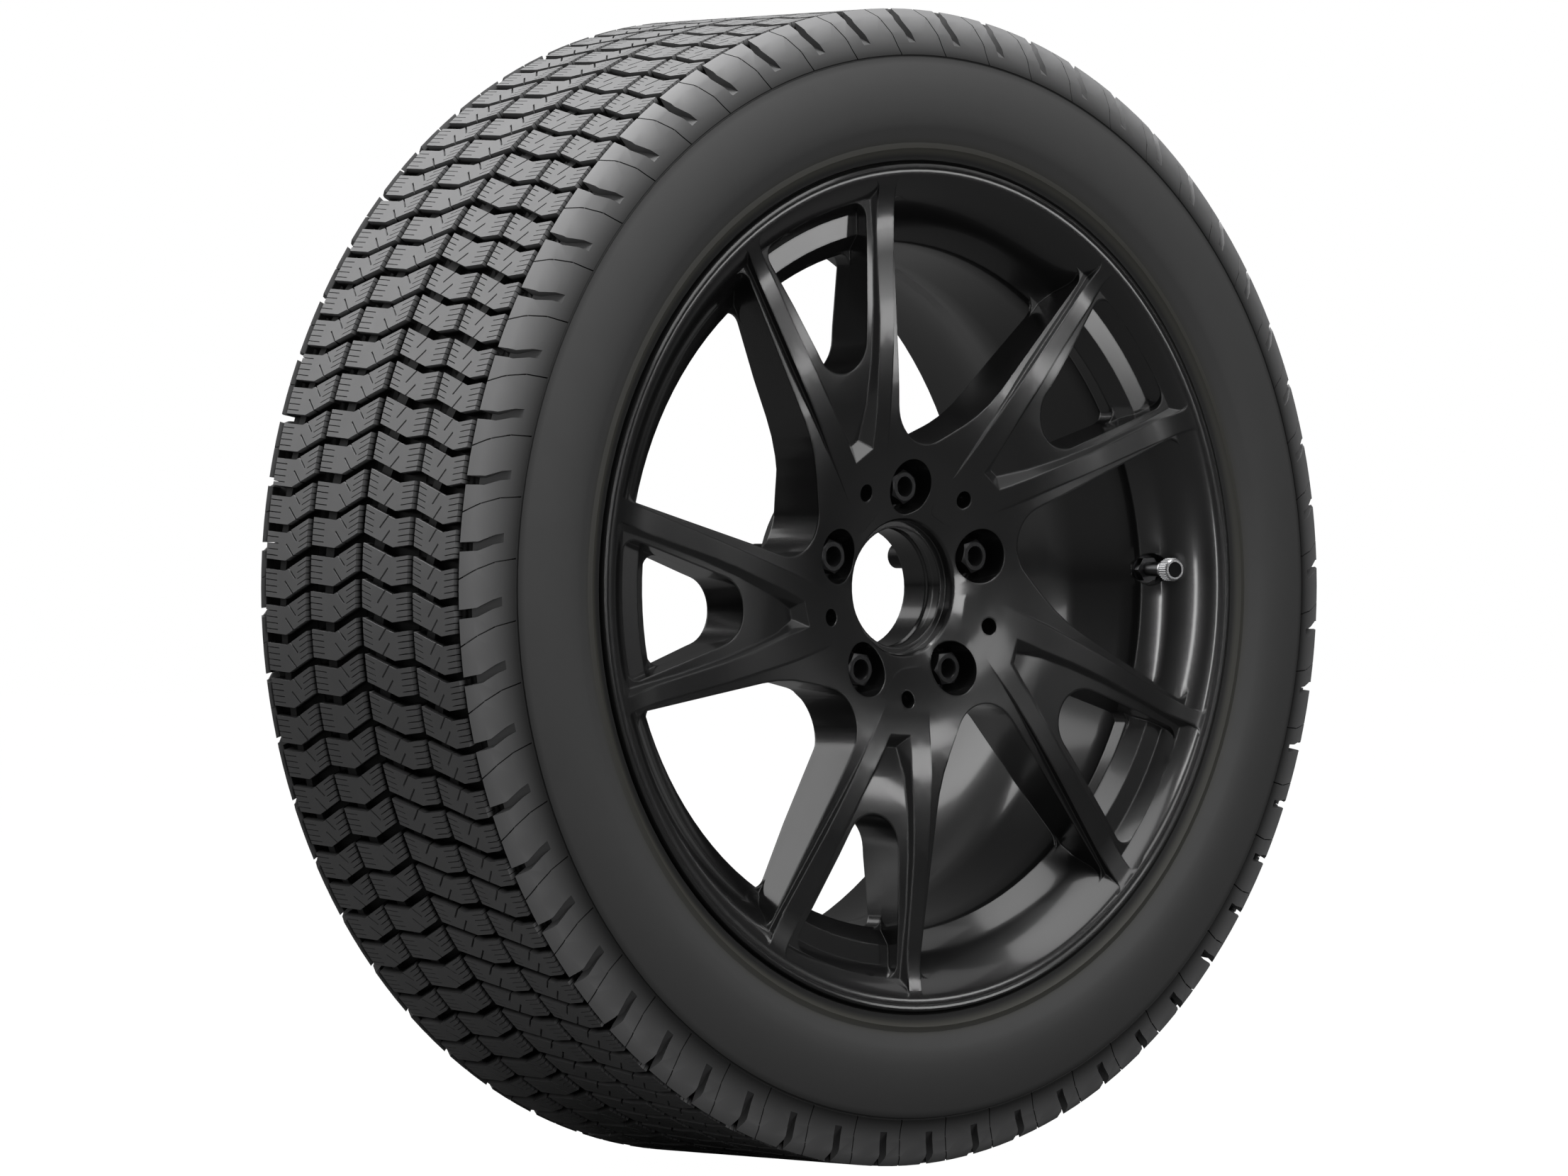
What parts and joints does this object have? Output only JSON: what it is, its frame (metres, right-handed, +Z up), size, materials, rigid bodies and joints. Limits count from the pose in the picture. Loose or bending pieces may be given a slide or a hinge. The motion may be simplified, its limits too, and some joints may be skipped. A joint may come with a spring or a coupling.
{
  "type": "alloy wheel with tyre",
  "caption": "Black cast road wheel with arms in pairs that fork from a bolted hub, a deep barrel, a block-tread tyre, ball seat wheel bolts and a screw-capped valve.",
  "frame": {"origin": "centre of the wheel: its axle's line at the middle of the rim's width", "axes": "the axle lies along Y, the outer face looks towards -Y, +Z is up, +X is right as seen from outside"},
  "size_m": [0.643, 0.2148, 0.643],
  "materials": {
    "black_alloy": "satin black paint",
    "tyre_rubber": "matte",
    "bolt_metal": "satin dark coating",
    "stem_metal": "satin",
    "cap_metal": "satin grey",
    "disc_metal": "satin dark grey",
    "brass": "turned",
    "spring_steel": "bright",
    "seal_rubber": "matte"
  },
  "bodies": {
    "wheel": {"alloy_wheel": "black_alloy", "tyre": "tyre_rubber", "wheel_bolt_1": "bolt_metal", "wheel_bolt_2": "bolt_metal", "wheel_bolt_3": "bolt_metal", "wheel_bolt_4": "bolt_metal", "wheel_bolt_5": "bolt_metal", "valve_stem": "stem_metal", "valve_grommet": "seal_rubber", "valve_washer": "stem_metal", "valve_nut": "stem_metal", "valve_core_body": "brass", "valve_core_gasket": "seal_rubber", "valve_core_spring": "spring_steel"},
    "core_pin": {"valve_core_pin": "brass", "valve_core_plunger": "seal_rubber"},
    "cap_seal": {"valve_cap_seal": "seal_rubber"},
    "cap": {"valve_cap": "cap_metal", "valve_cap_disc": "disc_metal"}
  },
  "joints": [
    {"name": "valve_pin_push", "type": "slide", "parent": "wheel", "child": "core_pin", "axis": [0.2077, 0.9781, 0.0102], "range_m": [0, 0.0015], "stiffness_N_per_m": 800, "springref_m": -0.001, "deforming": ["valve_core_spring"]},
    {"name": "valve_cap_lift", "type": "slide", "parent": "wheel", "child": "cap_seal", "axis": [-0.2077, -0.9781, -0.0102], "range_m": [0, 0.00635]},
    {"name": "valve_cap_turn", "type": "hinge", "parent": "cap_seal", "child": "cap", "pos_m": [0.19361, -0.09556, 0.00947], "axis": [-0.2077, -0.9781, -0.0102], "range_deg": [0, 2880]}
  ],
  "couplings": [
    {"joint": "valve_cap_turn", "follows": "valve_cap_lift", "rad_per_m": 7915}
  ]
}
